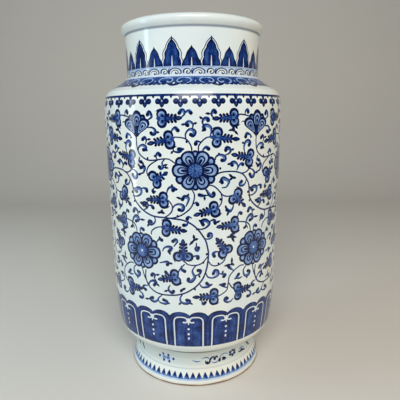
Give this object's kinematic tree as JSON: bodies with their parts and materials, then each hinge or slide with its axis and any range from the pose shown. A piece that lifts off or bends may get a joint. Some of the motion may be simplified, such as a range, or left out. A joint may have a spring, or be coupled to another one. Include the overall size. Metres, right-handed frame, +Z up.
{
  "type": "blue and white vase",
  "caption": "Tall lantern-shaped porcelain vase with a straight body, flat shoulder, wide neck and spreading foot, painted in blue under a clear glaze; it stands and holds water or stems.",
  "frame": {"origin": "middle of the foot's underside, on the surface that the vase stands on", "axes": "+Z up along the vase's axis, -Y the side that faces the viewer"},
  "size_m": [0.2308, 0.2308, 0.454],
  "materials": {
    "glazed_porcelain": "clear glaze over blue painting, bare at the rim of the foot"
  },
  "bodies": {
    "root": {"foot_ring": "glazed_porcelain", "base_floor": "glazed_porcelain", "lower_body": "glazed_porcelain", "middle_body": "glazed_porcelain", "upper_body": "glazed_porcelain", "shoulder": "glazed_porcelain", "neck": "glazed_porcelain", "mouth_rim": "glazed_porcelain"}
  },
  "joints": []
}
